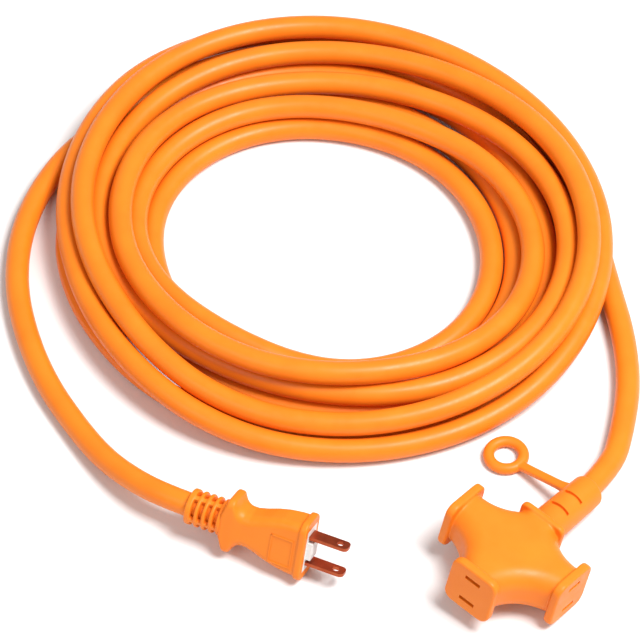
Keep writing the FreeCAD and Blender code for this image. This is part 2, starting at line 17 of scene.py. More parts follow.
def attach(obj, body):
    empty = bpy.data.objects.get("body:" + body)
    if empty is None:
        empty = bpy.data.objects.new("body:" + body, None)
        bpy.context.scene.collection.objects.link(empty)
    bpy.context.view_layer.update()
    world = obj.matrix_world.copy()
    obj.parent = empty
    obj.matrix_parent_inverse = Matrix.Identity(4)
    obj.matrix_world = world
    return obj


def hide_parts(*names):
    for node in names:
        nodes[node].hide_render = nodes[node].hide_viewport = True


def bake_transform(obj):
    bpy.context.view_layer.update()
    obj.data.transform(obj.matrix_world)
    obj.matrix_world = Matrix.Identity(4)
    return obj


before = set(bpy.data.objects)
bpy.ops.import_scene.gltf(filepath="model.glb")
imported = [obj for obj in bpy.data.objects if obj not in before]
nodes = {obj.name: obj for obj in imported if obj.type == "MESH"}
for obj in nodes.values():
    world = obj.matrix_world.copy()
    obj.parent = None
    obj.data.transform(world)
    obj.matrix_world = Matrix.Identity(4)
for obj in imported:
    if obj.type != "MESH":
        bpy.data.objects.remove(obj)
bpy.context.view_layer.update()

MM = 0.001


# ---------------------------------------------------------------- camera
CAMERA_PLACE = Vector((0.9321, 0.6635, 1.5078))
CAMERA_WAY = Vector((-0.49599, -0.40886, -0.76604))
camera_data = bpy.data.cameras.new("camera")
camera_data.lens = 253.1
camera_data.sensor_width = 36.0
camera_data.clip_end = 20.0
camera = bpy.data.objects.new("camera", camera_data)
camera.location = CAMERA_PLACE
camera.rotation_euler = CAMERA_WAY.to_track_quat("-Z", "Y").to_euler()
bpy.context.scene.collection.objects.link(camera)
bpy.context.scene.camera = camera


# ---------------------------------------------------------------- the cord's line
CORD_RADIUS = 5.2
TAP_TAIL = [(-0.01689, 0.0099, 0.01132), (-0.0547, 0.0099, 0.0052), (-0.077, -0.0005, 0.0052),
            (-0.098, -0.013, 0.0052), (-0.118, -0.031, 0.0052), (-0.135, -0.0515, 0.0052)]
PLUG_TAIL = [(-0.039, -0.2873, 0.0052), (-0.0145, -0.2815, 0.0052), (0.009, -0.270, 0.0052),
             (0.031, -0.252, 0.0052), (0.0485, -0.2295, 0.0052), (0.062, -0.206, 0.0052),
             (0.071, -0.182, 0.0052), (0.0776, -0.161, 0.0069), (0.0812, -0.141, 0.0114),
             (0.08116, -0.1212, 0.015), (0.07392, -0.09529, 0.015)]

COIL_CENTRE = (-79.45, -164.0)
COIL_TURN = -230.5           # degrees from a side's number below to its heading
TURN_POINTS = 24             # control points in each turn
TURNS = 9
FIRST_SIDE = 150             # where the first turn begins, at the plug's tail
OVAL = 4.5                   # how far the coil is pressed out of round
# Each turn's radius and height at its left (180), back (90), right (0) and front (-90).
SIDES = (180, 90, 0, -90)
TURN_RADII = [[None, 112, 107, 107.5], [119.5, 101.5, 94.5, 96.5], [98.5, 85, 80, 85.8],
              [80, 65.7, 70, 79], [88, 67.6, 88, 93.5], [92.9, 83, 105.5, 94.1],
              [102.5, 103.4, 114.3, 112.3], [110, 121.5, 116.5, 117.5],
              [114.5, 129, 115, None]]
TURN_HEIGHTS = [[None, 5.2, 5.2, 5.2], [5.2, 5.2, 5.2, 5.2], [5.2, 5.2, 5.2, 5.2],
                [5.2, 5.2, 5.2, 5.2], [13.2, 15.3, 15.6, 25.5], [22.9, 15.6, 17, 15.1],
                [14.9, 15.6, 24.6, 15.6], [24, 15.6, 15.6, 5.2], [14.7, 5.2, 5.2, None]]
# Turn, side, radius and height where a turn wanders between those four.
BETWEEN = [(1, 158, 126, 5.2), (1, 150, 117.5, 5.2), (1, 135, 113, 5.2), (1, 110, 116, 5.2),
           (1, -113, 119.5, 5.2), (1, -128, 121.5, 5.2), (1, -150, 115.5, 5.2),
           (2, 135, 104, 5.2), (3, 60, 84, 5.2), (4, 45, 70, 5.2),
           (4, -135, 83, 15.5), (5, -135, 97.5, 25.5), (7, -112, 116.4, 15.4),
           (7, -130, 115.2, 17.5), (8, 135, 113, 21.7),
           (8, 45, 117, 15.6), (8, -25, 118, 15.6), (8, -50, 119, 6.6),
           (8, -103, 121, 7), (8, -118, 123, 13), (8, -135, 115, 15.6),
           (9, 135, 117.5, 11.3), (9, 45, 117.5, 5.2), (9, -12, 121, 5.2)]

SLACK = 0.5                  # room between turns, as a spline cuts its corners
ROUNDS = 160                 # of settling, counted down
SLOW_ROUNDS = 50             # the last rounds, with less pull and smoothing
FREE_ROUNDS = 12             # the last rounds, without pull or sag
PUSH_ROUNDS = 4              # the last rounds, with nothing but the pushes
FAST, SLOW_PULL, SLOW_SOFT = 0.12, 0.03, 0.05
SAG = 0.02
PUSH = {-1: 0.12, 0: 0.4, 1: 0.12}


def turn_stations():
    """Angle wound, radius and height of each control point of the coil, as laid."""
    table = list(BETWEEN)
    for turn, (radii, heights) in enumerate(zip(TURN_RADII, TURN_HEIGHTS), start=1):
        for side, radius, height in zip(SIDES, radii, heights):
            if radius is not None:
                table.append((turn, side, radius, height))
    knots = sorted(((turn - 1) * 360 + 180 - side, r, z) for turn, side, r, z in table)
    at, radius, height = np.array(knots, float).T
    wound = np.arange(180 - FIRST_SIDE, (TURNS - 1) * 360 + 181, 360 / TURN_POINTS)
    span = np.clip(np.searchsorted(at, wound) - 1, 0, len(at) - 2)
    step = at[span + 1] - at[span]
    t = (wound - at[span]) / step
    ease = t * t * (3 - 2 * t)
    slope = np.gradient(radius, at)
    bulge = step * t * (1 - t) * ((1 - t) * slope[span] - t * slope[span + 1])
    r = radius[span] + (radius[span + 1] - radius[span]) * ease + bulge
    z = height[span] + (height[span + 1] - height[span]) * ease
    return wound, r, z


def settle(r, z):
    """Lets the turns sink and push each other apart until they lie a diameter apart."""
    gap = 2 * CORD_RADIUS + SLACK
    laid_r, laid_z = r.copy(), z.copy()
    count = len(r)
    for left in range(ROUNDS, 0, -1):
        slow = left <= SLOW_ROUNDS
        pull = 0.0 if left <= FREE_ROUNDS else SLOW_PULL if slow else FAST
        soft = 0.0 if left <= PUSH_ROUNDS else SLOW_SOFT if slow else FAST
        sag = 0.0 if left <= FREE_ROUNDS else SAG
        r = r + pull * (laid_r - r)
        z = z + pull * (laid_z - z) - sag
        r[1:-1] += soft * ((r[:-2] + r[2:]) / 2 - r[1:-1])
        z[1:-1] += soft * ((z[:-2] + z[2:]) / 2 - z[1:-1])
        for _ in range(2):
            move_r = np.zeros(count)
            move_z = np.zeros(count)
            for lag in range(1, TURNS):
                for offset, share in PUSH.items():
                    jump = lag * TURN_POINTS + offset
                    if jump >= count:
                        continue
                    low = np.arange(count - jump)
                    high = low + jump
                    along = math.radians(offset * 360 / TURN_POINTS) * (r[low] + r[high]) / 2
                    out = r[high] - r[low]
                    up = z[high] - z[low]
                    apart = np.hypot(out, up) + 1e-9
                    need = np.sqrt(np.clip(gap ** 2 - along ** 2, 0, None))
                    push = np.clip(need - apart, 0, None) * share / apart
                    np.add.at(move_r, low, -push * out)
                    np.add.at(move_r, high, push * out)
                    np.add.at(move_z, low, -push * up)
                    np.add.at(move_z, high, push * up)
            r = r + move_r
            z = np.maximum(z + move_z, CORD_RADIUS)
    return r, z


def coil_points():
    """The coil's control points in metres, from the plug's tail to the tap's."""
    wound, r, z = turn_stations()
    r, z = settle(r, z)
    side = np.radians(180 - wound)
    r = r - OVAL * np.sin(2 * side)
    # A quadratic spline runs inside its control points by this much.
    r = r * 8 / (6 + 2 * math.cos(2 * math.pi / TURN_POINTS))
    heading = side + math.radians(COIL_TURN)
    x = COIL_CENTRE[0] + r * np.cos(heading)
    y = COIL_CENTRE[1] + r * np.sin(heading)
    return [tuple(point * MM) for point in np.c_[x, y, z]]


# ---------------------------------------------------------------- materials
SPECULAR = 0.25
NOISE_LOW, NOISE_HIGH = 0.3, 0.7     # the part of a noise's range that is used
CLOUD = 60.0
TARNISH = 180.0
METAL_LINES = 900.0


def shader(name, roughness, metallic=0.0):
    """A material with a principled shader, and the two."""
    material = bpy.data.materials.new(name)
    material.use_nodes = True
    base = material.node_tree.nodes["Principled BSDF"]
    base.inputs["Roughness"].default_value = roughness
    base.inputs["Metallic"].default_value = metallic
    base.inputs["Specular IOR Level"].default_value = SPECULAR
    return material, base


def noise(tree, scale, detail=3.0, stretch=(1, 1, 1)):
    """A noise texture in the object's own coordinates, in metres."""
    where = tree.nodes.new("ShaderNodeTexCoord")
    mapping = tree.nodes.new("ShaderNodeMapping")
    mapping.inputs["Scale"].default_value = stretch
    texture = tree.nodes.new("ShaderNodeTexNoise")
    texture.inputs["Scale"].default_value = scale
    texture.inputs["Detail"].default_value = detail
    tree.links.new(where.outputs["Object"], mapping.inputs["Vector"])
    tree.links.new(mapping.outputs["Vector"], texture.inputs["Vector"])
    return texture.outputs["Fac"]


def spread(tree, factor, low, high):
    """Maps a noise to a number between low and high."""
    node = tree.nodes.new("ShaderNodeMapRange")
    node.inputs["From Min"].default_value = NOISE_LOW
    node.inputs["From Max"].default_value = NOISE_HIGH
    node.inputs["To Min"].default_value = low
    node.inputs["To Max"].default_value = high
    tree.links.new(factor, node.inputs["Value"])
    return node.outputs["Result"]


def blend_colours(tree, factor, first, second):
    """A colour between two, by a noise."""
    ramp = tree.nodes.new("ShaderNodeValToRGB")
    ramp.color_ramp.elements[0].position = NOISE_LOW
    ramp.color_ramp.elements[1].position = NOISE_HIGH
    ramp.color_ramp.elements[0].color = (*first, 1)
    ramp.color_ramp.elements[1].color = (*second, 1)
    tree.links.new(factor, ramp.inputs["Fac"])
    return ramp.outputs["Color"]


def add_bump(tree, base, height, strength, distance):
    """Lets a noise shape the surface, by a distance in metres."""
    bump = tree.nodes.new("ShaderNodeBump")
    bump.inputs["Strength"].default_value = strength
    bump.inputs["Distance"].default_value = distance
    tree.links.new(height, bump.inputs["Height"])
    tree.links.new(bump.outputs["Normal"], base.inputs["Normal"])


def polymer(name, first, second, roughness, grain, depth):
    """Moulded or extruded plastic: clouded colour, uneven gloss and a fine grain."""
    material, base = shader(name, roughness)
    tree = material.node_tree
    colour = blend_colours(tree, noise(tree, CLOUD), first, second)
    tree.links.new(colour, base.inputs["Base Color"])
    gloss = spread(tree, noise(tree, CLOUD * 4), roughness - 0.05, roughness + 0.07)
    tree.links.new(gloss, base.inputs["Roughness"])
    add_bump(tree, base, noise(tree, grain, 4.0), 0.25, depth)
    return material


def metal(name, first, second, roughness, stretch):
    """Rolled or drawn metal: tarnish in its colour and fine lines in its finish."""
    material, base = shader(name, roughness, 1.0)
    tree = material.node_tree
    colour = blend_colours(tree, noise(tree, TARNISH), first, second)
    tree.links.new(colour, base.inputs["Base Color"])
    lines = noise(tree, METAL_LINES, 3.0, stretch)
    tree.links.new(spread(tree, lines, roughness - 0.06, roughness + 0.08),
                   base.inputs["Roughness"])
    add_bump(tree, base, lines, 0.2, 0.00004)
    return material


ORANGE = (0.84, 0.214, 0.013)
ORANGE_DEEP = (0.82, 0.190, 0.011)
moulded = polymer("moulded_pvc", ORANGE_DEEP, ORANGE, 0.42, 2600.0, 0.00005)
sheath = polymer("cord_pvc", ORANGE_DEEP, ORANGE, 0.36, 1400.0, 0.00004)
core_plastic = polymer("core_plastic", (0.56, 0.55, 0.50), (0.62, 0.61, 0.57), 0.55,
                       2200.0, 0.00005)
insert_plastic = polymer("insert_plastic", (0.66, 0.66, 0.64), (0.74, 0.74, 0.72), 0.35,
                         2600.0, 0.00003)
black_skin = polymer("black_insulation", (0.012, 0.012, 0.012), (0.02, 0.02, 0.02), 0.42,
                     1600.0, 0.00003)
white_skin = polymer("white_insulation", (0.70, 0.70, 0.68), (0.78, 0.78, 0.76), 0.42,
                     1600.0, 0.00003)
brass = metal("brass_strip", (0.74, 0.52, 0.22), (0.82, 0.62, 0.30), 0.30, (1, 8, 1))
spring_brass = metal("spring_brass", (0.76, 0.50, 0.24), (0.84, 0.62, 0.32), 0.26, (8, 1, 1))
blade_metal = metal("blade_metal", (0.38, 0.075, 0.03), (0.50, 0.12, 0.05), 0.34, (1, 1, 6))
tinned = metal("tinned_metal", (0.62, 0.62, 0.60), (0.72, 0.72, 0.70), 0.34, (6, 1, 1))
copper = metal("copper_strands", (0.78, 0.36, 0.20), (0.88, 0.46, 0.28), 0.28, (1, 12, 12))

NODE_MATERIALS = {
    "core_upper_shell": core_plastic, "core_lower_shell": core_plastic,
    "core_partition": core_plastic, "tap_copper_strands": copper,
    "plug_copper_strands": copper, "plug_insert": insert_plastic,
    "tap_wire_live": black_skin, "plug_wire_live": black_skin,
    "tap_wire_neutral": white_skin, "plug_wire_neutral": white_skin,
}
POLES = ("live", "neutral")
for pole in POLES:
    NODE_MATERIALS[f"bus_strip_{pole}"] = brass
    NODE_MATERIALS[f"tap_crimp_{pole}"] = tinned
    NODE_MATERIALS[f"plug_crimp_{pole}"] = tinned
    NODE_MATERIALS[f"plug_blade_{pole}"] = blade_metal
    for outlet in ("front", "left", "right"):
        NODE_MATERIALS[f"contact_{outlet}_{pole}"] = spring_brass
for name, material in NODE_MATERIALS.items():
    for material_slot in nodes[name].material_slots:
        material_slot.link = "OBJECT"
        material_slot.material = material


# ---------------------------------------------------------------- mesh helpers
FULL_TURN = 2 * math.pi
RIM_STEPS = 5
BAND_STEPS = 16


def skin(rings):
    """Points and faces of a closed skin over rings that have as many points each."""
    count = len(rings[0])
    last = (len(rings) - 1) * count
    points = [point for ring in rings for point in ring]
    faces = [tuple(range(count)), tuple(range(last, last + count))]
    for low in range(0, last, count):
        for i in range(count):
            j = (i + 1) % count
            faces.append((low + i, low + j, low + count + j, low + count + i))
    return points, faces


def loop_skin(rings):
    """Points and faces of a skin over rings that stand along a closed path."""
    count = len(rings[0])
    points = [point for ring in rings for point in ring]
    faces = []
    for step in range(len(rings)):
        low = step * count
        high = (step + 1) % len(rings) * count
        for i in range(count):
            j = (i + 1) % count
            faces.append((low + i, low + j, high + j, high + i))
    return points, faces


def hoop(profile, steps):
    """A closed profile of (x, radius) turned about the x axis."""
    rings = []
    for step in range(steps):
        a = FULL_TURN * step / steps
        rings.append([(x, r * math.cos(a), r * math.sin(a)) for x, r in profile])
    return loop_skin(rings)


def disc(x, radius):
    """A circle about the x axis."""
    return [(x, radius * math.cos(a), radius * math.sin(a))
            for a in np.linspace(0, FULL_TURN, 33)[:-1]]


def band(x0, x1, inner, outer, middle, half):
    """Part of a hoop of rectangular section, half degrees each side of middle."""
    rings = []
    for step in range(BAND_STEPS + 1):
        a = math.radians(middle - half + 2 * half * step / BAND_STEPS)
        y, z = math.cos(a), math.sin(a)
        rings.append([(x0, inner * y, inner * z), (x1, inner * y, inner * z),
                      (x1, outer * y, outer * z), (x0, outer * y, outer * z)])
    return skin(rings)


def block(x0, x1, y0, y1, z0, z1):
    """A box between two places on each axis."""
    return skin([[(x, y0, z0), (x, y1, z0), (x, y1, z1), (x, y0, z1)] for x in (x0, x1)])


def rounded_outline(half_y, half_z, corner, steps=8):
    """A rectangle with rounded corners, counter-clockwise."""
    outline = []
    for quarter, (side_y, side_z) in enumerate(((1, 1), (-1, 1), (-1, -1), (1, -1))):
        for step in range(steps + 1):
            a = math.radians(90 * quarter + 90 * step / steps)
            outline.append((side_y * (half_y - corner) + corner * math.cos(a),
                            side_z * (half_z - corner) + corner * math.sin(a)))
    return outline


def plate(x0, x1, half_y, half_z, corner, rear_rim, front_rim):
    """A rounded plate across x with softened rims."""
    angles = [math.radians(90 * k / RIM_STEPS) for k in range(RIM_STEPS + 1)]
    stations = [(x0 + rear_rim * (1 - math.cos(a)), rear_rim * (1 - math.sin(a)))
                for a in angles]
    stations += [(x1 - front_rim * (1 - math.sin(a)), front_rim * (1 - math.cos(a)))
                 for a in angles]
    rings = []
    for x, inset in stations:
        outline = rounded_outline(half_y - inset, half_z - inset, max(corner - inset, 0.4))
        rings.append([(x, y, z) for y, z in outline])
    return skin(rings)


def turned(part, degrees):
    """A part turned about z."""
    turn = Matrix.Rotation(math.radians(degrees), 3, "Z")
    points, faces = part
    return [tuple(turn @ Vector(point)) for point in points], faces


def build(name, parts, place, material):
    """One object from closed parts in millimetres, put in its place in metres."""
    shape = bmesh.new()
    for points, faces in parts:
        corners = [shape.verts.new(place @ Vector(point) * MM) for point in points]
        for face in faces:
            shape.faces.new([corners[i] for i in face])
    bmesh.ops.recalc_face_normals(shape, faces=shape.faces)
    mesh = bpy.data.meshes.new(name)
    shape.to_mesh(mesh)
    shape.free()
    made = bpy.data.objects.new(name, mesh)
    bpy.context.scene.collection.objects.link(made)
    mesh.materials.append(material)
    return made


def bake_modifiers(made):
    """Puts the modifiers' result in the object's own mesh."""
    bpy.context.view_layer.update()
    seen = made.evaluated_get(bpy.context.evaluated_depsgraph_get())
    mesh = bpy.data.meshes.new_from_object(seen)
    material = made.data.materials[0]
    made.modifiers.clear()
    made.data = mesh
    mesh.materials.clear()
    mesh.materials.append(material)


def soften(made, grid, rounds):
    """Merges a mesh's parts into one moulded form and rounds what is left sharp."""
    remesh = made.modifiers.new("merge", "REMESH")
    remesh.mode = "VOXEL"
    remesh.voxel_size = grid * MM
    smooth = made.modifiers.new("soften", "SMOOTH")
    smooth.factor = 0.5
    smooth.iterations = rounds
    bake_modifiers(made)


def carve(made, parts, place, operation="DIFFERENCE"):
    """Cuts closed parts out of an object, or joins them to it."""
    tool = build(made.name + "_tool", parts, place, made.data.materials[0])
    boolean = made.modifiers.new("carve", "BOOLEAN")
    boolean.operation = operation
    boolean.solver = "EXACT"
    boolean.use_self = True
    boolean.object = tool
    bake_modifiers(made)
    bpy.data.objects.remove(tool)


def smooth_shade(made, degrees=40):
    """Shades a mesh smooth, except where it turns by more than some degrees."""
    for face in made.data.polygons:
        face.use_smooth = True
    made.data.set_sharp_from_angle(angle=math.radians(degrees))


# ---------------------------------------------------------------- tap
TAP_CENTRE = Vector((12.72, 9.9, 16.12))
TAP_PITCH = 9.2
TAP_ROLL = 6.0
TAP = (Matrix.Translation(TAP_CENTRE)
       @ Matrix.Rotation(math.radians(-TAP_PITCH), 4, "Y")
       @ Matrix.Rotation(math.radians(-TAP_ROLL), 4, "X"))
FACE_REACH = 30.5            # arms' crossing to each outlet's face
PLATE_THICK = 4.0
PLATE_HALF = (11.6, 12.0)
PLATE_CORNER = 4.6
PLATE_RIMS = (1.0, 0.9)      # behind and in front
ARM_HALF = 9.5
BODY_HALF = 10.5
BODY_ROUND = 8.0
BODY_STEPS = 11
FRONT_SAG = 3.8              # hollow of the walls beside the front arm
REAR_SAG = 2.4
REAR_REACH = 18.5
COLLAR_THICK = 3.0
COLLAR_HALF = (11.1, 11.4)
COLLAR_CORNER = 3.0
COLLAR_RIM = 0.8
OVERLAP = 1.0                # of the body with its plates and its collar
CORE_HALF = 9.2              # room for the core: half height, and half width of an arm
CORE_ARM = 7.0
CORE_ROUND = 3.0
CORE_END = 26.5
CORE_REAR = 14.5
ENTRY_RADIUS = 5.4           # the cord's way in through the collar
ENTRY = (-19.5, -10.0)
POLE_OFFSET = 6.35           # half of the 12.7 blade spacing
SLOT_HALF = (3.8, 0.95)
SLOT_REACH = (25.5, 31.5)
OUTLET_TURNS = (0, 90, -90)


def sagging(start, end, sag, steps=18):
    """Points from start up to end along an arc that bows towards the middle by sag."""
    a = Vector(start)
    b = Vector(end)
    middle = (a + b) / 2
    across = Vector((a.y - b.y, b.x - a.x)).normalized()
    if across.dot(middle) > 0:
        across = -across
    return [tuple(a.lerp(b, k / steps) + across * sag * (1 - (2 * k / steps - 1) ** 2))
            for k in range(steps + 1)]


def on_arm_end(corner, point):
    """A wall's end moved along the end of the arm it belongs to."""
    if abs(corner[0]) > abs(corner[1]):
        return corner[0], point[1]
    return point[0], corner[1]


def cross_outline(inset):
    """The body seen from above: straight ends at the four arms, hollow walls between.

    The walls stand inset from where they are at mid height, the arms' ends don't.
    """
    reach = FACE_REACH - PLATE_THICK + OVERLAP
    rear = -(REAR_REACH - COLLAR_THICK + OVERLAP)
    arm = ARM_HALF
    walls = [((reach, arm), (arm, reach), FRONT_SAG), ((-arm, reach), (rear, arm), REAR_SAG),
             ((rear, -arm), (-arm, -reach), REAR_SAG), ((arm, -reach), (reach, -arm), FRONT_SAG)]
    outline = []
    for start, end, sag in walls:
        points = sagging(start, end, sag)
        moved = []
        for i, point in enumerate(points):
            before = Vector(points[max(i - 1, 0)])
            after = Vector(points[min(i + 1, len(points) - 1)])
            along = (after - before).normalized()
            moved.append((point[0] - along.y * inset, point[1] + along.x * inset))
        first, last = moved[0], moved[-1]
        outline += [on_arm_end(start, first)] + moved + [on_arm_end(end, last)]
    return outline


def cross_body():
    """The body between the plates, with rounded upper and lower edges."""
    levels = []
    for k in range(BODY_STEPS + 1):
        a = math.radians(90 * k / BODY_STEPS)
        levels.append((BODY_ROUND * (1 - math.sin(a)),
                       -BODY_HALF + BODY_ROUND * (1 - math.cos(a))))
    levels += [(inset, -z) for inset, z in reversed(levels)]
    return skin([[(x, y, z) for x, y in cross_outline(inset)] for inset, z in levels])


def outlet_plate(turn):
    """The rounded plate at the end of an outlet's arm."""
    return turned(plate(FACE_REACH - PLATE_THICK, FACE_REACH, *PLATE_HALF, PLATE_CORNER,
                        *PLATE_RIMS), turn)


def outlet_slots(turn):
    """Two slots through an outlet's plate, one above the other."""
    slots = []
    for middle in (-POLE_OFFSET, POLE_OFFSET):
        slots.append(turned(block(*SLOT_REACH, -SLOT_HALF[0], SLOT_HALF[0],
                                  middle - SLOT_HALF[1], middle + SLOT_HALF[1]), turn))
    return slots


collar = plate(-REAR_REACH, COLLAR_THICK - REAR_REACH, *COLLAR_HALF, COLLAR_CORNER,
               COLLAR_RIM, COLLAR_RIM)
jacket = build("jacket_moulding",
               [cross_body(), collar] + [outlet_plate(turn) for turn in OUTLET_TURNS],
               TAP, moulded)
soften(jacket, grid=0.42, rounds=7)
core_outline = rounded_outline(CORE_ARM, CORE_HALF, CORE_ROUND)
hollows = [skin([[(x, y, z) for y, z in core_outline] for x in (-CORE_REAR, CORE_END)]),
           skin([[(y, x, z) for y, z in core_outline] for x in (-CORE_END, CORE_END)]),
           skin([disc(x, ENTRY_RADIUS) for x in ENTRY])]
for turn in OUTLET_TURNS:
    hollows += outlet_slots(turn)
carve(jacket, hollows, TAP)
smooth_shade(jacket)
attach(jacket, "root")
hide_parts("tap_jacket")

# The bush: a tapered sleeve with a round shoulder at the cord's side and two short
# grooves above and below.
BUSH_END = -52.5
BUSH_BORE = 5.25
BUSH_RADII = (7.4, 8.0)      # at its end and at the collar
SHOULDER = 1.5
SHOULDER_STEPS = 6
BUSH_STEPS = 96
BUSH_RINGS = 10
RING_SPACING = 3.1
SEAT = 0.3                   # how far the bush reaches into the collar
GROOVES = (-30.0, -39.5)
GROOVE_WIDE = 1.6
GROOVE_FLOOR = 6.3
GROOVE_TOP = 12.0
GROOVE_HALF_ANGLE = 38.0


def bush_profile():
    """Half of the bush's section: shoulder, taper and bore, as (x, radius)."""
    end_radius, root_radius = BUSH_RADII
    outer = []
    for k in range(SHOULDER_STEPS, -1, -1):
        a = math.radians(90 * k / SHOULDER_STEPS)
        outer.append((BUSH_END + SHOULDER * (1 - math.sin(a)),
                      end_radius - SHOULDER * (1 - math.cos(a))))
    length = -REAR_REACH - BUSH_END
    for k in range(1, BUSH_RINGS + 1):
        x = BUSH_END + SHOULDER + RING_SPACING * k
        outer.append((x, end_radius + (root_radius - end_radius) * (x - BUSH_END) / length))
    outer.append((-REAR_REACH + SEAT, root_radius + 0.1))
    return outer + [(-REAR_REACH + SEAT, BUSH_BORE), (BUSH_END, BUSH_BORE)]


bush = build("bush_moulding", [hoop(bush_profile(), BUSH_STEPS)], TAP, moulded)
carve(bush, [band(x, x + GROOVE_WIDE, GROOVE_FLOOR, GROOVE_TOP, middle, GROOVE_HALF_ANGLE)
             for x in GROOVES for middle in (90, -90)], TAP)
smooth_shade(bush, degrees=35)
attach(bush, "root")
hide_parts("tap_cord_bush")

# The hang ring: a round ring on a flat strap that grows out of the bush's side.
RING_CENTRE = Vector((-35.0, -31.0, 2.45))
RING_HINGE = Vector((-31.8, 0.7, 10.2))
RING_RADIUS = 7.45
RING_SECTION = 2.45
RING_STEPS = 64
SECTION_STEPS = 24
STRAP_HALF = (2.1, 1.4)
STRAP_EDGE = 0.9
STRAP_SINK = 0.5             # how far the strap runs into the ring


def round_ring():
    """The ring itself, round in section and flat on the floor."""
    rings = []
    for step in range(RING_STEPS):
        a = FULL_TURN * step / RING_STEPS
        way = Vector((math.cos(a), math.sin(a), 0))
        rings.append([tuple(RING_CENTRE + way * (RING_RADIUS + RING_SECTION * math.cos(b))
                            + Vector((0, 0, RING_SECTION * math.sin(b))))
                      for b in np.linspace(0, FULL_TURN, SECTION_STEPS + 1)[:-1]])
    return loop_skin(rings)


def strap():
    """The strap from inside the bush's side to the ring, and the way it runs."""
    flat = RING_CENTRE - RING_HINGE
    flat.z = 0
    flat.normalize()
    near = RING_CENTRE - flat * (RING_RADIUS - STRAP_SINK)
    run = near - RING_HINGE
    run_way = run.normalized()
    across = Vector((0, 0, 1)).cross(run_way).normalized()
    up = run_way.cross(across)
    length = run.length
    # Distance from the hinge, widening and thickening of the strap there.
    stations = [(-3.6, 1.25, 1.3), (-2.0, 1.15, 1.15), (0.0, 1.04, 1.04), (2.5, 1.0, 1.0),
                (length * 0.35, 0.98, 0.98), (length * 0.7, 0.98, 0.98),
                (length - 3.5, 1.0, 1.0), (length - 1.8, 1.2, 1.05),
                (length - 0.6, 1.6, 1.15), (length, 2.0, 1.2)]
    rings = []
    for reach, wide, thick in stations:
        outline = rounded_outline(STRAP_HALF[0] * wide, STRAP_HALF[1] * thick, STRAP_EDGE,
                                  steps=5)
        middle = RING_HINGE + run_way * reach
        rings.append([tuple(middle + across * y + up * z) for y, z in outline])
    return skin(rings), run_way


strap_part, strap_way = strap()
hang_ring = build("hang_ring_moulding", [round_ring(), strap_part], Matrix.Identity(4), moulded)
soften(hang_ring, grid=0.28, rounds=5)
smooth_shade(hang_ring, degrees=60)
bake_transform(hang_ring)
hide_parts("hang_ring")

# ---------------------------------------------------------------- plug
PLUG_HEADING = 105.6
PLUG_ROLL = 69.0
PLUG_REAR = Vector((78.2, -110.6, 15.0))
NECK = -38.5
RELIEF_LENGTH = 16.0
plug_turn = (Matrix.Rotation(math.radians(PLUG_HEADING), 4, "Z")
             @ Matrix.Rotation(math.radians(PLUG_ROLL), 4, "X"))
plug_front = PLUG_REAR + plug_turn @ Vector((RELIEF_LENGTH - NECK, 0, 0))
PLUG = Matrix.Translation(plug_front) @ plug_turn

# Distance from the neck, half width, half height and corner of the moulded grip.
GRIP = [(0, 7.6, 7.4, 4.4), (0.6, 8.6, 7.5, 4.4), (1.2, 10.2, 7.5, 4.2), (1.8, 11.9, 7.4, 3.8),
        (2.3, 12.7, 7.3, 3.5), (2.8, 13.0, 7.3, 3.4), (4.8, 13.0, 7.2, 3.4),
        (5.4, 12.5, 7.2, 3.5), (6.0, 11.3, 7.1, 4.0), (6.8, 10.0, 7.0, 4.4),
        (7.9, 8.9, 6.9, 4.4), (9.6, 8.1, 6.7, 4.4), (12.5, 8.0, 6.7, 4.3),
        (16.5, 9.1, 6.7, 4.1), (21.5, 10.9, 6.8, 3.9), (26.5, 12.1, 6.95, 3.7),
        (31.5, 12.7, 7.1, 3.5), (36.0, 12.9, 7.2, 3.5)]


def grip_height(x, y):
    """Height of the grip's upper face at a spot."""
    half_y, half_z, corner = (float(np.interp(x - NECK, [row[0] for row in GRIP],
                                              [row[k] for row in GRIP])) for k in (1, 2, 3))
    over = max(0.0, min(corner, abs(y) - (half_y - corner)))
    return half_z - corner + math.sqrt(corner ** 2 - over ** 2)


FRAME_X = (-15.2, -5.4)
FRAME_Y = (-8.6, 4.4)
FRAME_WIDE = 0.55
FRAME_PROUD = 0.3
FRAME_SUNK = 0.8
BAR_STEPS = 12


def raised_bar(x0, x1, y0, y1):
    """A thin raised bar that follows the grip's upper face."""
    rings = []
    for k in range(BAR_STEPS + 1):
        if x1 - x0 > y1 - y0:
            x = x0 + (x1 - x0) * k / BAR_STEPS
            ends = [(x, y0), (x, y1)]
        else:
            y = y0 + (y1 - y0) * k / BAR_STEPS
            ends = [(x0, y), (x1, y)]
        tops = [grip_height(*end) for end in ends]
        rings.append([(*ends[0], tops[0] - FRAME_SUNK), (*ends[1], tops[1] - FRAME_SUNK),
                      (*ends[1], tops[1] + FRAME_PROUD), (*ends[0], tops[0] + FRAME_PROUD)])
    return skin(rings)


def grip():
    """The waisted grip with its two ears, from the neck to the flange."""
    rings = []
    for reach, half_y, half_z, corner in GRIP:
        outline = rounded_outline(half_y, half_z, corner)
        rings.append([(NECK + reach, y, z) for y, z in outline])
    return skin(rings)


FLANGE_THICK = 3.2
FLANGE_HALF = (14.25, 8.0)
FLANGE_CORNER = 4.5
FLANGE_RIM = 0.7
# Rooms for the insert, the blades' tails and the crimps: from, to, half width and height.
ROOMS = [(-14.0, 1.0, 10.0, 5.0), (-18.5, -13.0, 7.6, 3.4), (-25.0, -18.0, 6.0, 3.4)]
WIRE_ROOM = [(NECK - 0.8, 5.5), (NECK + 15.0, 5.2)]

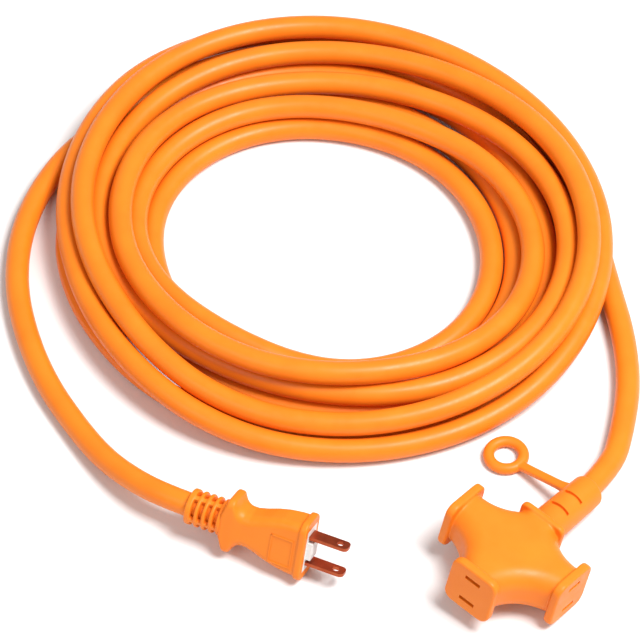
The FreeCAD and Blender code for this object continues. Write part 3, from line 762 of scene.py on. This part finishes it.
flange = plate(-FLANGE_THICK, 0.0, *FLANGE_HALF, FLANGE_CORNER, FLANGE_RIM, FLANGE_RIM)
plug_body = build("plug_moulding", [grip(), flange], PLUG, moulded)
soften(plug_body, grid=0.4, rounds=5)
rooms = [block(rear, front, -wide, wide, -high, high) for rear, front, wide, high in ROOMS]
rooms.append(skin([disc(x, radius) for x, radius in WIRE_ROOM]))
carve(plug_body, rooms, PLUG)
frame_bars = [raised_bar(*FRAME_X, y, y + FRAME_WIDE) for y in FRAME_Y]
frame_bars += [raised_bar(x, x + FRAME_WIDE, FRAME_Y[0], FRAME_Y[1] + FRAME_WIDE)
               for x in FRAME_X]
carve(plug_body, frame_bars, PLUG, "UNION")
smooth_shade(plug_body)
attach(plug_body, "root")
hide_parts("plug_body")

# The strain relief: rings joined by four webs along the cord.
RELIEF_REAR = NECK - RELIEF_LENGTH
RELIEF_BORE = 5.25
RELIEF_RADIUS = 7.8          # at its rear, widening a little towards the grip
RELIEF_FLARE = 0.2
RELIEF_SOFT = 0.5
RELIEF_STEPS = 80
ROWS = 4
FIRST_ROW = 2.6
ROW_PITCH = 3.4
ROW_GAP = 1.8
WEB_TURN = 23.5
WEB_HALF = 1.0
WEB_HEIGHTS = (5.3, 7.4)


def relief_ring(start, end, radius):
    """A ring with soft outer edges."""
    soft = RELIEF_SOFT
    slight = 0.15
    profile = [(start, RELIEF_BORE), (end, RELIEF_BORE), (end, radius - soft),
               (end - soft * 0.3, radius - slight), (end - soft, radius),
               (start + soft, radius), (start + soft * 0.3, radius - slight),
               (start, radius - soft)]
    return hoop(profile, RELIEF_STEPS)


def relief_web(quarter):
    """A web along the cord, that joins its rings."""
    turn = Matrix.Rotation(math.radians(WEB_TURN + 90 * quarter), 3, "X")
    points, faces = block(RELIEF_REAR + 1, NECK, -WEB_HALF, WEB_HALF, *WEB_HEIGHTS)
    return [tuple(turn @ Vector(point)) for point in points], faces


relief_parts = []
starts = [0.0] + [FIRST_ROW + ROW_GAP + ROW_PITCH * k for k in range(ROWS)]
ends = [FIRST_ROW + ROW_PITCH * k for k in range(ROWS)] + [RELIEF_LENGTH + 0.4]
for start, end in zip(starts, ends):
    radius = RELIEF_RADIUS + RELIEF_FLARE * start / RELIEF_LENGTH
    relief_parts.append(relief_ring(RELIEF_REAR + start, RELIEF_REAR + end, radius))
relief_parts += [relief_web(quarter) for quarter in range(4)]
relief = build("relief_moulding", relief_parts, PLUG, moulded)
soften(relief, grid=0.26, rounds=3)
smooth_shade(relief, degrees=60)
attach(relief, "root")
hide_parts("plug_strain_relief")

# ---------------------------------------------------------------- cord
route = TAP_TAIL + coil_points()[::-1] + PLUG_TAIL
line = bpy.data.curves.new("cord_line", "CURVE")
line.dimensions = "3D"
spline = line.splines.new("NURBS")
spline.points.add(len(route) - 1)
for point, place in zip(spline.points, route):
    point.co = (*place, 1.0)
spline.order_u = 3
spline.use_endpoint_u = True
spline.resolution_u = 8
line.bevel_depth = CORD_RADIUS * MM
line.bevel_resolution = 8
line.use_fill_caps = True
line.materials.append(sheath)
cord = bpy.data.objects.new("cord", line)
bpy.context.scene.collection.objects.link(cord)
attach(cord, "root")
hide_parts("cord_tail_tap", "cord_coil", "cord_tail_plug")
on_cord = [plug_body, relief, nodes["plug_insert"]]
for piece in ("blade", "crimp", "wire"):
    on_cord += [nodes[f"plug_{piece}_{pole}"] for pole in POLES]
on_cord.append(nodes["plug_copper_strands"])

# ---------------------------------------------------------------- floor and lights
FLOOR = 3.0
LIGHTS_AIM = Vector((-0.06, -0.14, 0.0))
SKY = 0.42
floor_mesh = bpy.data.meshes.new("floor")
floor_mesh.from_pydata([(-FLOOR, -FLOOR, 0), (FLOOR, -FLOOR, 0), (FLOOR, FLOOR, 0),
                        (-FLOOR, FLOOR, 0)], [], [(0, 1, 2, 3)])
floor = bpy.data.objects.new("floor", floor_mesh)
bpy.context.scene.collection.objects.link(floor)
floor_material, floor_base = shader("floor_paper", 0.9)
floor_colour = blend_colours(floor_material.node_tree, noise(floor_material.node_tree, 3.0),
                             (0.78, 0.78, 0.78), (0.81, 0.81, 0.81))
floor_material.node_tree.links.new(floor_colour, floor_base.inputs["Base Color"])
floor_mesh.materials.append(floor_material)


def area_light(name, place, size, power):
    """A square soft light that faces the object."""
    data = bpy.data.lights.new(name, "AREA")
    data.shape = "SQUARE"
    data.size = size
    data.energy = power
    made = bpy.data.objects.new(name, data)
    made.location = place
    way = LIGHTS_AIM - Vector(place)
    made.rotation_euler = way.to_track_quat("-Z", "Y").to_euler()
    bpy.context.scene.collection.objects.link(made)


area_light("key", (-0.30, 0.85, 2.0), 0.9, 70.0)
area_light("fill", (1.5, -0.3, 1.6), 1.2, 9.0)
world = bpy.data.worlds.new("studio")
world.use_nodes = True
world.node_tree.nodes["Background"].inputs["Color"].default_value = (1, 1, 1, 1)
world.node_tree.nodes["Background"].inputs["Strength"].default_value = SKY
bpy.context.scene.world = world
bpy.context.scene.view_settings.view_transform = "Standard"
